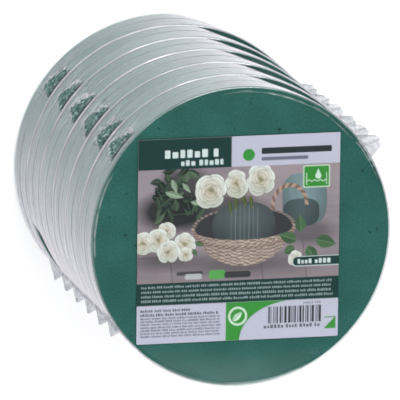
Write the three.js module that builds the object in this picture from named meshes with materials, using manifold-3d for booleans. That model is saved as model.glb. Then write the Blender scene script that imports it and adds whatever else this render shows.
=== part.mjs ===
import * as THREE from 'three';
import { mergeVertices } from 'three/addons/utils/BufferGeometryUtils.js';
import Module from 'manifold-3d';

// A stack of round floral foam blocks. Each block is sealed on its own in clear shrink film, over a
// square printed label. Millimetres, +Z up: the origin is the centre of the bottom face, and +Y is
// the top edge of every label.

// Foam blocks
const blockCount = 6;
const foamDiameter = 140;
const foamHeight = 25;
const foamEdgeRadius = 1;

// Printed label, laid loose on the top face of its block
const labelWidth = 95;
const labelHeight = 96;
const labelThickness = 0.3;
const labelCornerRadius = 1.2;
const labelShiftX = -1.2;
const labelShiftY = -0.8;

// Shrink film, in two cups that meet in a weld half way up the block
const filmThickness = 0.3;
const weldHeight = 0.9;
const weldProud = 0.4;

// Corner tails, the spare film at the four corners of the bag
const tailThickness = 0.6;
const upperRightTailAngle = 33;
const upperLeftTailAngle = 143.5;
const lowerLeftTailAngle = 218;
const lowerRightTailAngle = 323;

// The upper right tail is a wide flap and the lower left one a short fin; both stand out
const flapRootWidth = 12.5;
const flapLength = 5.8;
const flapTipWidth = 5;
const flapTipLean = 1.2;
const finRootWidth = 8;
const finLength = 2.4;
const finTipWidth = 1.6;
const finTipLean = 0.4;

// The other two are folded flat against the wall of the block
const foldedTailWidth = 17;
const foldedTailHeight = 14;

// Clearances
const seatGap = 0.3; // between pieces of one wrapped block that lie against each other
const stackGap = 0.3; // between one wrapped block and the next

// Fineness of the round shapes
const turnSteps = 36;
const cornerSteps = 2;
const foldSteps = 3;

// Radii and heights that follow, with z measured from the underside of one wrapped block
const foamRadius = foamDiameter / 2;
const faceRadius = foamRadius - foamEdgeRadius;
const filmInnerRadius = foamRadius + seatGap;
const filmOuterRadius = filmInnerRadius + filmThickness;
const weldOuterRadius = filmOuterRadius + weldProud;
const tailRootRadius = weldOuterRadius + seatGap;
const foamBottom = filmThickness + seatGap;
const foamTop = foamBottom + foamHeight;
const labelBottom = foamTop + seatGap;
const filmTop = labelBottom + labelThickness + seatGap + filmThickness;
const weldMiddle = filmTop / 2;
const blockPitch = filmTop + stackGap;

const foamGreen = new THREE.Color(0x2f6059);
const labelWhite = new THREE.Color(0xd9d6df);
const filmClear = new THREE.Color(0xc9d2d4);
const filmCreased = new THREE.Color(0xdfe3e4);

const wasm = await Module();
wasm.setup();

// A closed geometry as a solid that can be cut
function solidFrom(geometry) {
  const bare = geometry.index ? geometry.toNonIndexed() : geometry.clone();
  bare.deleteAttribute('normal');
  bare.deleteAttribute('uv');
  const merged = mergeVertices(bare, 1e-4);
  const vertProperties = new Float32Array(merged.attributes.position.array);
  const triVerts = new Uint32Array(merged.index.array);
  return new wasm.Manifold(new wasm.Mesh({ numProp: 3, vertProperties, triVerts }));
}

// A cut solid back as a geometry
function geometryFrom(solid) {
  const mesh = solid.getMesh();
  const geometry = new THREE.BufferGeometry();
  geometry.setAttribute('position', new THREE.BufferAttribute(mesh.vertProperties, 3));
  geometry.setIndex(new THREE.BufferAttribute(mesh.triVerts, 1));
  geometry.computeVertexNormals();
  return geometry;
}

// A profile of [radius, z] points turned about the Z axis
function turned(profile) {
  const points = profile.map(([radius, z]) => new THREE.Vector2(radius, z));
  const geometry = new THREE.LatheGeometry(points, turnSteps);
  geometry.rotateX(Math.PI / 2);
  return geometry;
}

// Points of a quarter round between two angles in degrees, about a centre in the profile's plane
function quarterRound(centreRadius, centreZ, radius, fromAngle, toAngle) {
  const points = [];
  for (let step = 0; step <= cornerSteps; step++) {
    const angle = THREE.MathUtils.degToRad(fromAngle + (toAngle - fromAngle) * step / cornerSteps);
    points.push([centreRadius + radius * Math.cos(angle), centreZ + radius * Math.sin(angle)]);
  }
  return points;
}

function foamBlock() {
  const edge = foamEdgeRadius;
  return turned([
    [0, foamBottom],
    ...quarterRound(faceRadius, foamBottom + edge, edge, -90, 0),
    ...quarterRound(faceRadius, foamTop - edge, edge, 0, 90),
    [0, foamTop],
  ]);
}

// A rounded rectangle, trimmed to the flat of the face where it would reach past the rounded edge
function printedLabel() {
  const halfWidth = labelWidth / 2 - labelCornerRadius;
  const halfHeight = labelHeight / 2 - labelCornerRadius;
  const outline = new THREE.Shape();
  outline.absarc(halfWidth, halfHeight, labelCornerRadius, 0, Math.PI / 2);
  outline.absarc(-halfWidth, halfHeight, labelCornerRadius, Math.PI / 2, Math.PI);
  outline.absarc(-halfWidth, -halfHeight, labelCornerRadius, Math.PI, Math.PI * 1.5);
  outline.absarc(halfWidth, -halfHeight, labelCornerRadius, Math.PI * 1.5, Math.PI * 2);
  const sheet = new THREE.ExtrudeGeometry(outline, {
    depth: labelThickness,
    bevelEnabled: false,
    curveSegments: cornerSteps,
  });
  sheet.translate(labelShiftX, labelShiftY, labelBottom);
  const face = turned([
    [0, labelBottom - seatGap],
    [faceRadius, labelBottom - seatGap],
    [faceRadius, labelBottom + labelThickness + seatGap],
    [0, labelBottom + labelThickness + seatGap],
  ]);
  return geometryFrom(solidFrom(sheet).intersect(solidFrom(face)));
}

// A shallow cup of film: its flat lies at flatZ and its wall runs to rimZ, up or down
function filmCup(flatZ, rimZ) {
  const towardsRim = Math.sign(rimZ - flatZ);
  const innerCorner = foamEdgeRadius + seatGap;
  const outerCorner = innerCorner + filmThickness;
  const cornerRadius = filmOuterRadius - outerCorner;
  const cornerZ = flatZ + towardsRim * outerCorner;
  const profile = [
    [0, flatZ],
    ...quarterRound(cornerRadius, cornerZ, outerCorner, -90 * towardsRim, 0),
    [filmOuterRadius, rimZ],
    [filmInnerRadius, rimZ],
    ...quarterRound(cornerRadius, cornerZ, innerCorner, 0, -90 * towardsRim),
    [0, flatZ + towardsRim * filmThickness],
  ];
  return turned(towardsRim > 0 ? profile : profile.reverse());
}

// The bead of melted film that joins the two cups
function filmWeld() {
  const low = weldMiddle - weldHeight / 2;
  const high = weldMiddle + weldHeight / 2;
  return turned([
    [filmInnerRadius, low],
    [weldOuterRadius, low],
    [weldOuterRadius, high],
    [filmInnerRadius, high],
    [filmInnerRadius, low],
  ]);
}

// A flat tail that stands out from the weld, with its root along the Y axis and a blunt point
function standingTail(rootWidth, length, tipWidth, tipLean) {
  const outline = new THREE.Shape([
    new THREE.Vector2(0, -rootWidth / 2),
    new THREE.Vector2(length, -tipWidth / 2),
    new THREE.Vector2(length + tipLean, 0),
    new THREE.Vector2(length, tipWidth / 2),
    new THREE.Vector2(0, rootWidth / 2),
  ]);
  const geometry = new THREE.ExtrudeGeometry(outline, { depth: tailThickness, bevelEnabled: false });
  geometry.translate(tailRootRadius, 0, weldMiddle - tailThickness / 2);
  return geometry;
}

// A tail folded flat: a strip of the wall's curve, centred on the X axis and on the weld
function foldedTail() {
  const outerRadius = tailRootRadius + tailThickness;
  const halfAngle = foldedTailWidth / 2 / tailRootRadius;
  const outline = new THREE.Shape();
  outline.absarc(0, 0, outerRadius, -halfAngle, halfAngle, false);
  outline.absarc(0, 0, tailRootRadius, halfAngle, -halfAngle, true);
  const geometry = new THREE.ExtrudeGeometry(outline, {
    depth: foldedTailHeight,
    bevelEnabled: false,
    curveSegments: foldSteps,
  });
  geometry.translate(0, 0, weldMiddle - foldedTailHeight / 2);
  return geometry;
}

function piece(name, geometry, color, roughness, opacity = 1) {
  const material = new THREE.MeshStandardMaterial({
    color,
    roughness,
    metalness: 0,
    opacity,
    transparent: opacity < 1,
  });
  const mesh = new THREE.Mesh(geometry, material);
  mesh.name = name;
  return mesh;
}

// One wrapped block, with its underside at z = 0
function wrappedBlock(number) {
  const block = new THREE.Group();
  const backRim = weldMiddle - weldHeight / 2 - seatGap;
  const frontRim = weldMiddle + weldHeight / 2 + seatGap;
  block.add(piece(`foam_block_${number}`, foamBlock(), foamGreen, 0.95));
  block.add(piece(`printed_label_${number}`, printedLabel(), labelWhite, 0.5));
  block.add(piece(`film_back_${number}`, filmCup(0, backRim), filmClear, 0.12, 0.4));
  block.add(piece(`film_front_${number}`, filmCup(filmTop, frontRim), filmClear, 0.12, 0.4));
  block.add(piece(`film_weld_${number}`, filmWeld(), filmCreased, 0.3, 0.6));
  const flap = () => standingTail(flapRootWidth, flapLength, flapTipWidth, flapTipLean);
  const fin = () => standingTail(finRootWidth, finLength, finTipWidth, finTipLean);
  const tails = [
    ['upper_right', upperRightTailAngle, flap],
    ['upper_left', upperLeftTailAngle, foldedTail],
    ['lower_left', lowerLeftTailAngle, fin],
    ['lower_right', lowerRightTailAngle, foldedTail],
  ];
  for (const [corner, angle, shape] of tails) {
    const tail = piece(`film_tail_${corner}_${number}`, shape(), filmCreased, 0.3, 0.6);
    tail.rotation.z = THREE.MathUtils.degToRad(angle);
    block.add(tail);
  }
  return block;
}

const stack = new THREE.Group();
for (let number = 1; number <= blockCount; number++) {
  const block = wrappedBlock(number);
  block.position.z = (number - 1) * blockPitch;
  stack.add(block);
}

export default stack;
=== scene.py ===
import math

import bpy
import numpy as np
from mathutils import Matrix, Vector


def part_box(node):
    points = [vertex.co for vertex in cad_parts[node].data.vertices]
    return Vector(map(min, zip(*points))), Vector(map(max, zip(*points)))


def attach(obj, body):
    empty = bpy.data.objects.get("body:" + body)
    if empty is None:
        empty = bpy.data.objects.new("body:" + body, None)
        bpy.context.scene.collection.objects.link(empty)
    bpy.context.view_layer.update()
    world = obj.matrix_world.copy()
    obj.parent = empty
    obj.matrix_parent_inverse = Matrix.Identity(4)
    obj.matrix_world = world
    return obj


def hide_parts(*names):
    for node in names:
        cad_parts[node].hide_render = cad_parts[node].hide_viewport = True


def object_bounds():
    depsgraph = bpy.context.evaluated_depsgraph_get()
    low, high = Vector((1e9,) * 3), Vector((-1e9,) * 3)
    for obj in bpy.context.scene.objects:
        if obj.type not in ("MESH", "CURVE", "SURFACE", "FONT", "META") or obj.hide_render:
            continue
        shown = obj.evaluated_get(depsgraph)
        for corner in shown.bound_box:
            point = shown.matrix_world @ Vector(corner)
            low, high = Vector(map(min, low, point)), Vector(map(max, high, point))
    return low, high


# A stack of six round floral foam blocks, each sealed in clear shrink film over a printed label.
# Sizes in the settings are millimetres unless they say otherwise.

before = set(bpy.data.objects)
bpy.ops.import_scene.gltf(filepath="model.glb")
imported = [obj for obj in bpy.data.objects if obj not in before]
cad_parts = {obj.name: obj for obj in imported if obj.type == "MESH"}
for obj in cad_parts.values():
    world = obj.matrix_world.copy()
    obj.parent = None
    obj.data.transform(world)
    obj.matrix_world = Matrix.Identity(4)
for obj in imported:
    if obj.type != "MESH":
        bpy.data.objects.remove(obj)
cadLow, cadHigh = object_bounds()
mm = 0.001
blockCount = 6


cameraLook = dict(
    tilt=18.76,             # degrees between the line of sight and the stack's axis
    bearing=135.3,          # degrees round the axis, towards the upper left of the label
    roll=0.66,
    distance=6.0,           # metres
    focal=1180.3,
    shiftRight=18.9,        # the labelled face's centre, right of and below the line of sight
    shiftDown=16.9,
)


def placeCamera(look):
    tilt, bearing, roll = (math.radians(look[k]) for k in ("tilt", "bearing", "roll"))
    back = Vector((math.sin(tilt) * math.cos(bearing), math.sin(tilt) * math.sin(bearing), math.cos(tilt)))
    right = (-back).cross(Vector((0, 1, 0))).normalized()
    up = right.cross(-back)
    right, up = (
        right * math.cos(roll) + up * math.sin(roll),
        up * math.cos(roll) - right * math.sin(roll),
    )
    face = Vector((0, 0, cadHigh.z))
    aim = face - right * look["shiftRight"] * mm + up * look["shiftDown"] * mm
    data = bpy.data.cameras.new("camera")
    data.lens, data.sensor_width = look["focal"], 36.0
    data.clip_start, data.clip_end = 0.1, 60.0
    camera = bpy.data.objects.new("camera", data)
    turn = Matrix((right, up, back)).transposed().to_4x4()
    camera.matrix_world = Matrix.Translation(aim + back * look["distance"]) @ turn
    bpy.context.scene.collection.objects.link(camera)
    bpy.context.scene.camera = camera
    return back


toCamera = placeCamera(cameraLook)
bpy.context.scene.view_settings.view_transform = "Standard"
print("stage: camera")


def hexLinear(text):
    # linear colour of an sRGB hex value: the standard curve, channel by channel
    channel = np.array([int(text[i:i + 2], 16) for i in (1, 3, 5)]) / 255
    return np.where(channel <= 0.04045, channel / 12.92, ((channel + 0.055) / 1.055) ** 2.4)


def shaderColour(text):
    return (*hexLinear(text), 1.0)


def addNode(tree, kind, values=None, **settings):
    # a node of one kind: settings are its own properties, and values are its inputs, each a number,
    # a colour or another node's output
    node = tree.nodes.new("ShaderNode" + kind)
    for name, value in settings.items():
        setattr(node, name, value)
    for name, value in (values or {}).items():
        if isinstance(value, bpy.types.NodeSocket):
            tree.links.new(value, node.inputs[name])
        else:
            node.inputs[name].default_value = value
    return node


def newMaterial(name):
    material = bpy.data.materials.new(name)
    material.use_nodes = True
    tree = material.node_tree
    tree.nodes.clear()
    return material, tree, tree.nodes.new("ShaderNodeOutputMaterial")


def latticeNoise(points, size, seed):
    # random values at the corners of cells of the given size, blended by 3t2 - 2t3; from -1 to 1
    table = np.random.default_rng(seed).random(4096)
    shape = points.shape[:-1]
    cell = points.reshape(-1, 3) / size
    corner = np.floor(cell).astype(np.int64)
    part = cell - corner
    part = part * part * (3 - 2 * part)
    total = np.zeros(len(cell))
    for step in np.ndindex(2, 2, 2):
        at = corner + np.array(step)
        key = (at[:, 0] * 73856093) ^ (at[:, 1] * 19349663) ^ (at[:, 2] * 83492791)
        total += table[key % 4096] * np.prod(np.where(np.array(step), part, 1 - part), axis=1)
    return (total * 2 - 1).reshape(shape)


def pointGrid(x, y, z):
    return np.stack(np.broadcast_arrays(x, y, z), -1).astype(float)


def roundAxis(radius, turn, z):
    # points at a radius and at an angle, in radians, round the stack's axis
    return pointGrid(radius * np.cos(turn), radius * np.sin(turn), z)


def gridQuads(index, after):
    # faces between neighbouring rows of point numbers and the same rows one column further on
    return np.stack([index[:-1], index[1:], after[1:], after[:-1]], -1).reshape(-1, 4)


def ridges(noise, sharpness):
    # narrow crests along the lines where a noise passes through nought
    return (1 - np.minimum(np.abs(noise) * 2, 1)) ** sharpness


def makeMesh(name, points, quads, triangles=None, values=None):
    # points in millimetres and faces as index arrays, to one smooth mesh object at the origin
    triangles = np.zeros((0, 3), np.int32) if triangles is None else triangles
    mesh = bpy.data.meshes.new(name)
    mesh.vertices.add(len(points))
    mesh.vertices.foreach_set("co", (points * mm).astype(np.float32).ravel())
    corners = np.concatenate([quads.ravel(), triangles.ravel()]).astype(np.int32)
    starts = np.concatenate([np.arange(len(quads)) * 4, quads.size + np.arange(len(triangles)) * 3])
    mesh.loops.add(len(corners))
    mesh.loops.foreach_set("vertex_index", corners)
    mesh.polygons.add(len(starts))
    mesh.polygons.foreach_set("loop_start", starts.astype(np.int32))
    mesh.polygons.foreach_set("use_smooth", np.ones(len(starts), bool))
    for key, value in (values or {}).items():
        wide = value.ndim == 2
        made = mesh.attributes.new(key, "FLOAT_COLOR" if wide else "FLOAT", "POINT")
        made.data.foreach_set("color" if wide else "value", value.astype(np.float32).ravel())
    mesh.update(calc_edges=True)
    mesh.validate()
    obj = bpy.data.objects.new(name, mesh)
    bpy.context.scene.collection.objects.link(obj)
    return obj


def makeTurned(name, grid, values=None):
    # a closed surface whose rows run from pole to pole and whose columns go round the axis: the first
    # and last rows are each one point, and every other row is a ring
    rows, columns = grid.shape[:2]
    points = np.concatenate([grid[:1, 0], grid[1:-1].reshape(-1, 3), grid[-1:, 0]])
    ring = 1 + np.arange((rows - 2) * columns).reshape(rows - 2, columns)
    after = np.roll(ring, -1, axis=1)
    quads = gridQuads(ring, after)
    last = len(points) - 1
    fans = np.concatenate([
        np.stack([np.zeros(columns, int), ring[0], after[0]], -1),
        np.stack([np.full(columns, last), after[-1], ring[-1]], -1),
    ])
    for key, value in (values or {}).items():
        values[key] = np.concatenate([value[:1, 0], value[1:-1].reshape(-1), value[-1:, 0]])
    return makeMesh(name, points, quads, fans, values)


def makeRing(name, grid, values=None):
    # a closed ring: rows go round its section and columns go round the axis
    rows, columns = grid.shape[:2]
    index = np.arange(rows * columns).reshape(rows, columns)
    down = np.roll(index, -1, axis=0)
    quads = np.stack([index, down, np.roll(down, -1, axis=1), np.roll(index, -1, axis=1)], -1).reshape(-1, 4)
    for key, value in (values or {}).items():
        values[key] = value.reshape(-1)
    return makeMesh(name, grid.reshape(-1, 3), quads, None, values)


def gridNormals(grid):
    along, across = np.gradient(grid, axis=0), np.gradient(grid, axis=1)
    normal = np.cross(along, across)
    return normal / np.maximum(np.linalg.norm(normal, axis=-1, keepdims=True), 1e-9)


def makeSheet(name, middle, thickness, values=None):
    # a closed thin sheet: its two sides lie half a thickness each side of the middle, and a strip of
    # faces joins them round the border
    rows, columns = middle.shape[:2]
    normal = gridNormals(middle)
    count = rows * columns
    points = np.concatenate([
        (middle + normal * thickness / 2).reshape(-1, 3),
        (middle - normal * thickness / 2).reshape(-1, 3),
    ])
    index = np.arange(count).reshape(rows, columns)
    front = gridQuads(index[:, :-1], index[:, 1:])
    rim = np.concatenate([index[0, :-1], index[:-1, -1], index[-1, :0:-1], index[:0:-1, 0]])
    after = np.roll(rim, -1)
    strip = np.stack([rim, after, after + count, rim + count], -1)
    quads = np.concatenate([front, front[:, ::-1] + count, strip])
    for key, value in (values or {}).items():
        values[key] = np.tile(value.reshape(-1), 2)
    return makeMesh(name, points, quads, None, values)


def finishPiece(obj, material, body, node):
    obj.data.materials.append(material)
    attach(obj, body)
    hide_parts(node)


def arcAway(angle, centre):
    # how far round the axis, in degrees, an angle lies from another, from -180 to 180
    return (angle - centre + 180) % 360 - 180


squeezeLook = dict(
    most=2.9,               # how far the back rim is drawn in, at most
    span=(22, 42, 60, 90),  # degrees: it grows over the first pair and fades over the second
    lowSpan=(196, 204, 209, 226),
    lowMost=1.6,
    lowBlock=2,             # the one block that the film also pulls in at its lower left
    height=26.6,            # of a wrapped block
    power=1.5,
)


def smoothStep(value, low, high):
    part = np.clip((value - low) / (high - low), 0, 1)
    return part * part * (3 - 2 * part)


def rimSqueeze(number, angle, rise):
    # the shrinking film draws the back rim of each block in on its upper right side: the wall leans
    # inwards as the share of the way from the front face to the back, raised to a power
    look = squeezeLook
    share = np.clip((look["height"] - rise) / look["height"], 0, 1) ** look["power"]
    a, b, c, d = look["span"]
    turn = angle % 360
    draw = look["most"] * smoothStep(turn, a, b) * (1 - smoothStep(turn, c, d))
    if number == look["lowBlock"]:
        a, b, c, d = look["lowSpan"]
        draw = draw + look["lowMost"] * smoothStep(turn, a, b) * (1 - smoothStep(turn, c, d))
    return draw * share


def squeezed(number, grid, centreShare=60.0):
    # points moved towards the axis by the squeeze, less and less inside the given radius
    radius = np.hypot(grid[..., 0], grid[..., 1])
    angle = np.degrees(np.arctan2(grid[..., 1], grid[..., 0]))
    draw = rimSqueeze(number, angle, grid[..., 2]) * np.clip((radius - centreShare) / 10, 0, 1)
    scale = 1 - draw / np.maximum(radius, 1e-6)
    return grid * np.stack([scale, scale, np.ones_like(scale)], -1)


foamLook = dict(
    radius=70.0,
    height=25.0,
    edge=0.8,
    floor=0.6,              # above the underside of the wrapped block
    grain=0.05,
    pits=46,                # on the outer part of a face, where no label covers it
    pitLength=(0.4, 1.1),
    pitDepth=(0.35, 0.9),
    deep="#1b4d49",
    dusty="#39736d",
    crumb=1.0,              # size of the cells, millimetres
)


def foamMaterial():
    # velvety open-cell foam: a speckle of cells, slow cloudy shifts of green, and a painted shade darkening
    # the pits
    look = foamLook
    material, tree, out = newMaterial("foam_green")
    place = addNode(tree, "TexCoord").outputs["Object"]
    cells = addNode(tree, "TexNoise", {
        "Vector": place, "Scale": 1 / (look["crumb"] * mm), "Detail": 3.0, "Roughness": 0.7,
    })
    cloud = addNode(tree, "TexNoise", {"Vector": place, "Scale": 1 / (22 * mm), "Detail": 2.0})
    pores = addNode(tree, "TexVoronoi", {"Vector": place, "Scale": 1 / (0.9 * mm), "Randomness": 1.0})
    speck = addNode(tree, "MapRange", {"Value": cells.outputs["Fac"], "From Min": 0.3, "From Max": 0.72})
    drift = addNode(tree, "MapRange", {
        "Value": cloud.outputs["Fac"], "From Min": 0.3, "From Max": 0.7, "To Min": 0.15, "To Max": 0.5,
    })
    share = addNode(tree, "Math", {0: speck.outputs["Result"], 1: 0.5}, operation="MULTIPLY")
    share = addNode(tree, "Math", {0: share.outputs[0], 1: drift.outputs["Result"]}, operation="ADD")
    base = addNode(tree, "MixRGB", {
        "Fac": share.outputs[0], "Color1": shaderColour(look["deep"]), "Color2": shaderColour(look["dusty"]),
    })
    # the pits' depth mixes the colour towards near black: a painted shade in the hollows
    pitShade = addNode(tree, "Attribute", attribute_name="pitShade")
    base = addNode(tree, "MixRGB", {
        "Fac": pitShade.outputs["Fac"], "Color1": base.outputs[0], "Color2": shaderColour("#0c211f"),
    })
    height = addNode(tree, "Math", {0: cells.outputs["Fac"], 1: pores.outputs["Distance"]}, operation="ADD")
    bump = addNode(tree, "Bump", {"Strength": 0.55, "Distance": 0.12 * mm, "Height": height.outputs[0]})
    skin = addNode(tree, "BsdfPrincipled", {
        "Base Color": base.outputs[0], "Roughness": 0.95, "Specular IOR Level": 0.15,
        "Sheen Weight": 0.12, "Sheen Roughness": 0.6, "Normal": bump.outputs[0],
    })
    tree.links.new(skin.outputs[0], out.inputs[0])
    return material


def pitField(x, y, seed, count, inner, outer):
    # small torn slots in the foam's face: each is a bell over an oval, turned at random, and the
    # deepest at a place counts
    look = foamLook
    rng = np.random.default_rng(seed)
    depth = np.zeros_like(x)
    for _ in range(count):
        angle, radius = rng.uniform(0, 2 * math.pi), math.sqrt(rng.uniform(inner ** 2, outer ** 2))
        turn, long = rng.uniform(0, math.pi), rng.uniform(*look["pitLength"])
        short, deep = long * rng.uniform(0.3, 0.6), rng.uniform(*look["pitDepth"])
        dx, dy = x - radius * math.cos(angle), y - radius * math.sin(angle)
        along = dx * math.cos(turn) + dy * math.sin(turn)
        across = dy * math.cos(turn) - dx * math.sin(turn)
        depth = np.maximum(depth, deep * np.exp(-(along / long) ** 2 * 2 - (across / short) ** 2 * 2))
    return depth


def buildFoam(number, material, fine):
    # a profile turned round the axis: out over the face, round the edge, down the wall and back under;
    # every point is moved along the profile's normal by the grain less the pits
    look = foamLook
    columns = 960 if fine else 320
    edge, radius = look["edge"], look["radius"]
    low, high = look["floor"], look["floor"] + look["height"]
    flat = radius - edge
    face = [0, 6, 16, 28, 38, 44, *np.arange(46, flat, 0.42 if fine else 1.6)]
    wall = np.linspace(high - edge, low + edge, 26 if fine else 14)[1:-1]
    turns = np.radians(np.linspace(90, 0, 5))
    profile = [(r, high, 0, 1) for r in face]
    profile += [
        (flat + edge * math.cos(a), high - edge + edge * math.sin(a), math.cos(a), math.sin(a))
        for a in turns
    ]
    profile += [(radius, z, 1, 0) for z in wall]
    profile += [
        (flat + edge * math.cos(a), low + edge - edge * math.sin(a), math.cos(a), -math.sin(a))
        for a in turns[::-1]
    ]
    profile += [(r, low, 0, -1) for r in (62, 50, 34, 16, 0)]
    r, z, nr, nz = np.array(profile).T[:, :, None]
    angle = np.linspace(0, 2 * math.pi, columns, endpoint=False)[None, :]
    base = roundAxis(r, angle, z)
    normal = roundAxis(nr, angle, nz)
    grain = latticeNoise(base, 1.1, 100 + number) * look["grain"]
    grain = grain + latticeNoise(base, 9, 130 + number) * look["grain"]
    onFace = (nz > 0.99) & (r > 40)
    pits = pitField(base[..., 0], base[..., 1], 160 + number, look["pits"], 45, flat) * onFace
    points = base + normal * (grain - 0.08 - pits)[..., None]
    points[0], points[-1] = base[0], base[-1]
    points = squeezed(number, points)
    points[..., 2] += baseHeights[number]
    # the pits' depth goes with the mesh to darken their colour there, a painted shade
    obj = makeTurned(f"foam_round_{number}", points, {"pitShade": np.clip(pits * 2.2, 0, 1)})
    finishPiece(obj, material, f"block_{number}", f"foam_block_{number}")


filmLook = dict(
    outer=70.46,            # radius of the film's outside on the wall
    thickness=0.08,
    corner=0.95,
    top=26.62,              # outside faces, above the underside of the wrapped block
    bottom=0.06,
    weld=13.4,
    weldHalf=0.2,
    tailAngles=(31, 141.5, 219, 323),
    foldAngle=141.5,
    gloss=0.07,
    haze=0.7,               # how milky a full crease is
    swell=0.06,             # heights of what stands up on the wall: slow swells, long streaks, puckers
    streak=0.07,            # at its edges, the fans of creases at the tails, and the crumpled patch
    pucker=0.035,
    fan=0.18,
    patch=0.12,
    seamRadius=70.33,
    seamHalf=(0.17, 0.24),  # half the weld's thickness, out from the wall and along it
    straight=0.045,         # share reflected looking straight at the film
    glance=0.95,            # share reflected at the end of the rise
    rise=(0.60, 1.15),      # where it grows, 0 being a straight look and 1 a glancing one
    # creases in the labelled face's film: middle and half length in degrees, radius, how far it
    # wanders and over how many degrees, height, half thickness
    faceCreases=(
        (170, 17, 68.9, 0.18, 20, 0.30, 0.28),
        (69, 25, 68.2, 0.35, 9, 0.17, 0.24),
        (34, 15, 69.2, 0.2, 9, 0.22, 0.75),
    ),
    lowerFall=0.8,          # how far the film falls from below the label to the rim
    rimMilk=(0.9, 0.2),     # milkiness along the front rim: lower blocks, and the top one
)


def filmMaterial():
    # glass-clear shrink film: it mirrors little straight on and nearly all at a glancing angle, in an
    # even S-shaped rise, with a trace of milkiness where it is creased
    look = filmLook
    material, tree, out = newMaterial("film_shrink_clear")
    facing = addNode(tree, "LayerWeight", {"Blend": 0.5}).outputs["Facing"]
    share = addNode(tree, "MapRange", {
        "Value": facing, "From Min": look["rise"][0], "From Max": look["rise"][1],
        "To Min": look["straight"], "To Max": look["glance"],
    }, interpolation_type="SMOOTHSTEP").outputs["Result"]
    crease = addNode(tree, "Attribute", attribute_name="crease").outputs["Fac"]
    milk = addNode(tree, "Math", {0: crease, 1: look["haze"]}, operation="MULTIPLY")
    share = addNode(tree, "Math", {0: share, 1: milk.outputs[0]}, operation="ADD", use_clamp=True)
    clear = addNode(tree, "BsdfTransparent", {"Color": shaderColour("#f4f7f6")})
    mirror = addNode(tree, "BsdfGlossy", {"Color": shaderColour("#fef8ff"), "Roughness": look["gloss"]})
    mix = addNode(tree, "MixShader", {0: share.outputs[0], 1: clear.outputs[0], 2: mirror.outputs[0]})
    tree.links.new(mix.outputs[0], out.inputs[0])
    return material


def filmAngles(count):
    # columns round the block, closer together near the tails: the running sum of the wanted density,
    # read backwards at even steps
    fine = np.linspace(0, 360, 7200, endpoint=False)
    density = np.ones_like(fine)
    for tail in filmLook["tailAngles"]:
        density += (5 if tail == filmLook["foldAngle"] else 1.5) * np.exp(-(arcAway(fine, tail) / 8) ** 2)
    running = np.cumsum(density)
    return np.interp(np.linspace(0, running[-1], count, endpoint=False), running, fine)


def wallRelief(angle, rise, seed):
    # how far the film on the wall stands out, in millimetres: slow swells, long low creases that run
    # round the block, creases that spread from each tail, puckers at the two edges, and a crumpled
    # patch by the folded tail
    look = filmLook
    place = roundAxis(70, np.radians(angle), rise)
    swell = latticeNoise(place / np.array([30, 30, 14]), 1, seed) * look["swell"]
    streak = ridges(latticeNoise(place / np.array([34, 34, 2.6]), 1, seed + 1), 2) * look["streak"]
    pucker = ridges(latticeNoise(place / np.array([1.9, 1.9, 9]), 1, seed + 2), 2)
    nearEdge = np.exp(-(rise - 1) / 1.6) + np.exp(-(25.7 - rise) / 1.6)
    low = smoothStep(angle % 360, 158, 196) * (1 - smoothStep(angle % 360, 236, 262))
    streak = streak * (0.06 + 1.5 * low)
    relief = swell + streak + pucker * nearEdge * look["pucker"]
    crease = streak * 0.85
    for k, tail in enumerate(look["tailAngles"]):
        arc = np.radians(arcAway(angle, tail)) * 70
        lift = rise - look["weld"]
        reach = np.exp(-np.hypot(arc, lift * 1.4) / 7)
        spread = np.arctan2(lift, np.abs(arc) + 2) * 3.2
        fan = ridges(latticeNoise(pointGrid(spread, arc / 30, arc * 0 + k), 1, seed + 3 + k), 2)
        relief = relief + fan * reach * look["fan"]
        crease = crease + fan * reach * 0.3
    arc = np.radians(arcAway(angle, look["foldAngle"])) * 70
    patch = np.exp(-(arc / 11) ** 4 - ((rise - 15) / 9) ** 4)
    crumple = ridges(latticeNoise(place, 2.1, seed + 9), 1.2) * look["patch"]
    relief = relief * (1 - patch) + crumple * patch
    return relief, np.clip(crease, 0, 1)


def faceRelief(angle, radius, seed, marked):
    # how far the film over a face stands up: slow swells, and where it is marked, a few creases near
    # the rim and a fall away below the label
    look = filmLook
    turn = np.radians(angle)
    place = roundAxis(radius, turn, 0)
    relief = latticeNoise(place, 28, seed + 20) * 0.10 + latticeNoise(place, 7, seed + 21) * 0.02
    crease = np.zeros_like(relief)
    if marked:
        for centre, half, line, wave, size, tall, thick in look["faceCreases"]:
            along = np.exp(-(arcAway(angle, centre) / half) ** 4)
            wander = line + wave * latticeNoise(pointGrid(angle * 1.2, 0, 0), size, seed + 22)
            broken = np.clip(0.85 + 0.7 * latticeNoise(place, 2.3, seed + 24), 0.1, 1)
            crest = np.exp(-((radius - wander) / thick) ** 2) * along * broken
            relief = relief + crest * tall
            crease = crease + crest * 0.3
        y = radius * np.sin(turn)
        relief = relief - look["lowerFall"] * np.clip((-50 - y - 4 * np.cos(turn)) / 20, 0, 1) ** 1.3
    return relief * np.clip((70 - radius) / 1.5, 0, 1), crease


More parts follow.
